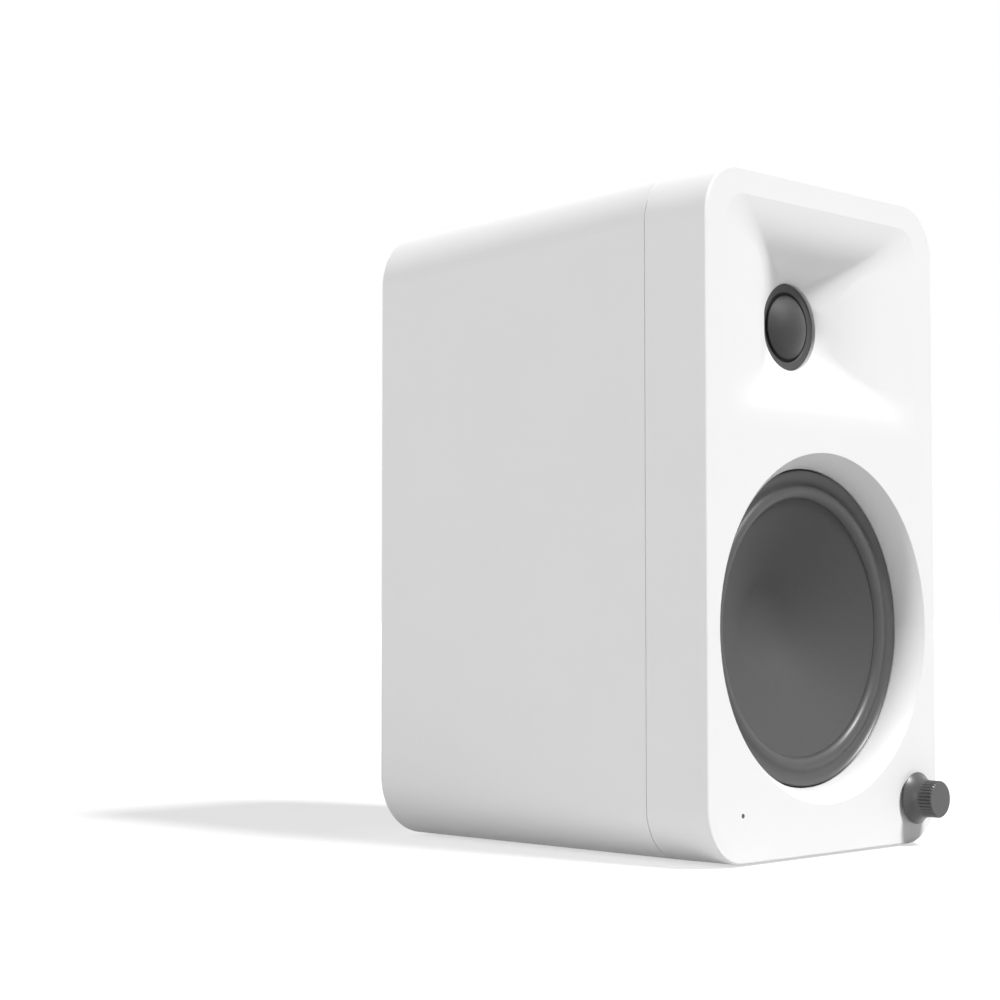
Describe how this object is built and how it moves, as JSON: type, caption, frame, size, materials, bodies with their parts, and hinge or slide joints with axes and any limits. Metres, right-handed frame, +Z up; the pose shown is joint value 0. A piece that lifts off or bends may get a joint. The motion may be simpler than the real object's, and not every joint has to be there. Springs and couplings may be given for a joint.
{
  "type": "powered bookshelf speaker",
  "caption": "White tapered bookshelf speaker with a horn-loaded dome tweeter, a grey dish woofer, a volume knob and a rear amplifier panel.",
  "frame": {"origin": "bottom centre of the whole envelope, on the surface that the rubber feet stand on", "axes": "+X to the right seen from the front, -Y towards the listener, +Z up"},
  "size_m": [0.1506, 0.208, 0.2608],
  "materials": {
    "cabinet_white": "satin white lacquer",
    "grey_plastic": "satin dark grey",
    "grey_cone": "satin dark grey dish",
    "grey_rubber": "satin dark grey rubber",
    "grey_silk": "coated woven dome",
    "black_plastic": "moulded black",
    "black_steel": "black paint",
    "zinc_steel": "zinc plated",
    "brass_post": "plain",
    "gold_plate": "gold plated",
    "tinned_brass": "tinned",
    "copper": "enamelled copper wire",
    "coil_former": "plain",
    "bare_aluminium": "extruded",
    "ferrite": "sintered ferrite",
    "seal_foam": "closed-cell foam",
    "foot_rubber": "matt",
    "felt": "felt",
    "spider_cloth": "resin-treated cloth",
    "circuit_board": "solder mask",
    "smoked_pipe": "smoked",
    "clear_led": "clear",
    "red_cap": "moulded red",
    "capacitor_sleeve": "sleeved can"
  },
  "bodies": {
    "cabinet": {"front_baffle": "cabinet_white", "cabinet_shell": "cabinet_white", "baffle_gasket": "seal_foam", "woofer_gasket": "seal_foam", "baffle_screws": "zinc_steel", "woofer_screws": "zinc_steel", "tweeter_screws": "zinc_steel", "board_screws": "zinc_steel", "board_standoffs": "brass_post", "rear_panel_screws": "black_steel", "rubber_feet": "foot_rubber", "damping_pads": "felt", "port_tube": "black_plastic", "woofer_frame": "black_steel", "woofer_surround": "grey_rubber", "woofer_spider": "spider_cloth", "woofer_top_plate": "zinc_steel", "woofer_magnet": "ferrite", "woofer_yoke": "zinc_steel", "woofer_terminals": "tinned_brass", "tweeter_faceplate": "grey_plastic", "tweeter_surround": "grey_silk", "tweeter_top_plate": "zinc_steel", "tweeter_magnet": "ferrite", "tweeter_yoke": "zinc_steel", "tweeter_rear_cap": "black_plastic", "encoder_housing": "zinc_steel", "encoder_nut": "zinc_steel", "encoder_switch": "black_plastic", "control_board": "circuit_board", "status_board": "circuit_board", "amplifier_board": "circuit_board", "status_light_pipe": "smoked_pipe", "status_led": "clear_led", "rear_panel": "black_plastic", "rca_bodies": "black_plastic", "rca_shells": "gold_plate", "usb_port": "zinc_steel", "binding_posts": "gold_plate", "power_inlet": "black_plastic", "inlet_pins": "tinned_brass", "rocker_housing": "black_plastic", "heat_sink": "bare_aluminium", "filter_capacitors": "capacitor_sleeve", "output_chokes": "copper", "power_transformer": "ferrite"},
    "woofer_diaphragm": {"woofer_cone": "grey_cone", "woofer_coil_former": "coil_former", "woofer_winding": "copper"},
    "tweeter_diaphragm": {"tweeter_dome": "grey_silk", "tweeter_coil": "copper"},
    "encoder_rotor": {"encoder_rotor": "black_plastic"},
    "knob": {"volume_knob": "grey_plastic", "encoder_shaft": "zinc_steel"},
    "power_rocker": {"power_rocker": "black_plastic"},
    "post_cap_red": {"post_cap_red": "red_cap"},
    "post_cap_black": {"post_cap_black": "black_plastic"}
  },
  "joints": [
    {"name": "woofer_excursion", "type": "slide", "parent": "cabinet", "child": "woofer_diaphragm", "axis": [0, -1, 0], "range_m": [-0.004, 0.004], "stiffness_N_per_m": 1200, "deforming": ["woofer_surround", "woofer_spider"]},
    {"name": "tweeter_excursion", "type": "slide", "parent": "cabinet", "child": "tweeter_diaphragm", "axis": [0, -1, 0], "range_m": [-0.0003, 0.0003], "stiffness_N_per_m": 5000, "deforming": ["tweeter_surround"]},
    {"name": "knob_turn", "type": "hinge", "parent": "cabinet", "child": "encoder_rotor", "pos_m": [0.0588, -0.0915, 0.0189], "axis": [0, 1, 0], "continuous": true},
    {"name": "knob_press", "type": "slide", "parent": "encoder_rotor", "child": "knob", "axis": [0, 1, 0], "range_m": [0, 0.0006], "stiffness_N_per_m": 4000},
    {"name": "power_rocker_tip", "type": "hinge", "parent": "cabinet", "child": "power_rocker", "pos_m": [0.02, 0.0864, 0.0508], "axis": [1, 0, 0], "range_deg": [-16, 0]},
    {"name": "post_cap_red_turn", "type": "hinge", "parent": "cabinet", "child": "post_cap_red", "pos_m": [0.0095, 0.0985, 0.0908], "axis": [0, 1, 0], "continuous": true},
    {"name": "post_cap_black_turn", "type": "hinge", "parent": "cabinet", "child": "post_cap_black", "pos_m": [-0.0095, 0.0985, 0.0908], "axis": [0, 1, 0], "continuous": true}
  ]
}
